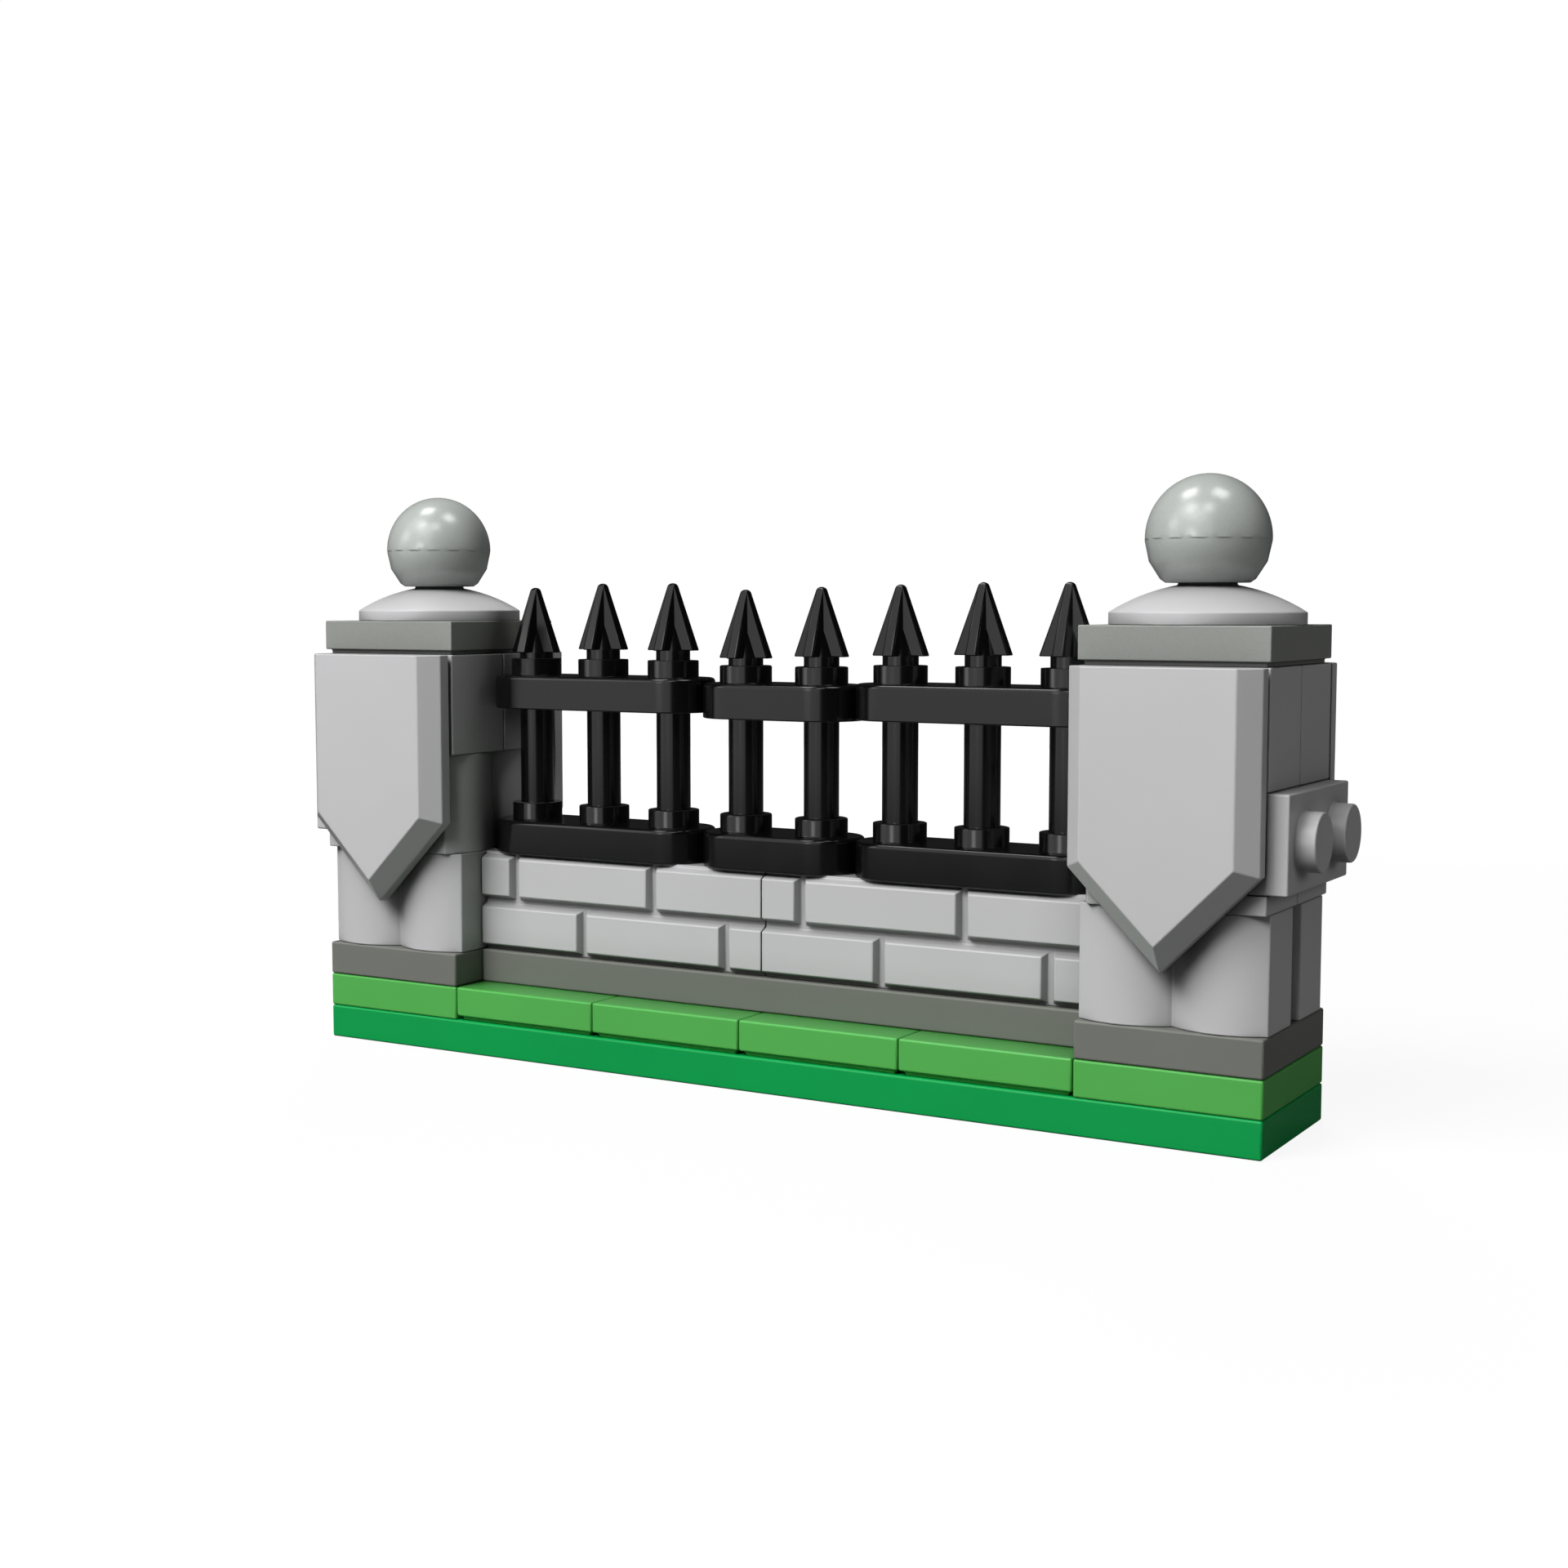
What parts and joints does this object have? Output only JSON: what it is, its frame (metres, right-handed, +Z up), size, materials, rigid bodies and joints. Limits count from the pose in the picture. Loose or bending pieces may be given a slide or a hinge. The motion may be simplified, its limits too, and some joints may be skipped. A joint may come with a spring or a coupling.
{
  "type": "toy brick fence section",
  "caption": "Toy fence section of interlocking bricks: low brick-pattern wall with a black spear-topped railing between square pillars with shields and ball finials.",
  "frame": {"origin": "centre of the underside of the base plate, on the surface it stands on", "axes": "+X along the fence towards the end with the two studs, +Y from the front to the back, +Z up"},
  "size_m": [0.1008, 0.0224, 0.0538],
  "materials": {
    "green": "moulded gloss plastic",
    "bright_green": "moulded gloss plastic",
    "dark_grey": "moulded gloss plastic",
    "light_grey": "moulded gloss plastic",
    "silver_grey": "pearl plastic with a soft metallic sheen",
    "black": "moulded gloss plastic"
  },
  "bodies": {
    "root": {"base_plate": "green", "lawn_tile_1": "bright_green", "lawn_tile_2": "bright_green", "lawn_tile_3": "bright_green", "lawn_tile_4": "bright_green", "left_ground_plate": "bright_green", "right_ground_plate": "bright_green", "wall_sill": "dark_grey", "left_plinth_plate": "dark_grey", "right_plinth_plate": "dark_grey", "wall_block_1": "light_grey", "wall_block_2": "light_grey", "left_end_tile": "light_grey", "right_end_plate": "light_grey", "left_inner_log_block": "light_grey", "left_dish": "light_grey", "left_front_log_block": "light_grey", "left_front_recessed_block": "light_grey", "left_front_upper_block": "light_grey", "left_front_shield": "light_grey", "left_back_log_block": "light_grey", "left_back_recessed_block": "light_grey", "left_back_upper_block": "light_grey", "left_back_shield": "light_grey", "right_inner_log_block": "light_grey", "right_dish": "light_grey", "right_front_log_block": "light_grey", "right_front_recessed_block": "light_grey", "right_front_upper_block": "light_grey", "right_front_shield": "light_grey", "right_back_log_block": "light_grey", "right_back_recessed_block": "light_grey", "right_back_upper_block": "light_grey", "right_back_shield": "light_grey", "left_cap_tile": "silver_grey", "right_cap_tile": "silver_grey", "left_ball": "silver_grey", "right_ball": "silver_grey", "lower_rail_1": "black", "upper_rail_1": "black", "lower_rail_2": "black", "upper_rail_2": "black", "lower_rail_3": "black", "upper_rail_3": "black", "spear_1": "black", "spear_2": "black", "spear_3": "black", "spear_4": "black", "spear_5": "black", "spear_6": "black", "spear_7": "black", "spear_8": "black"}
  },
  "joints": []
}
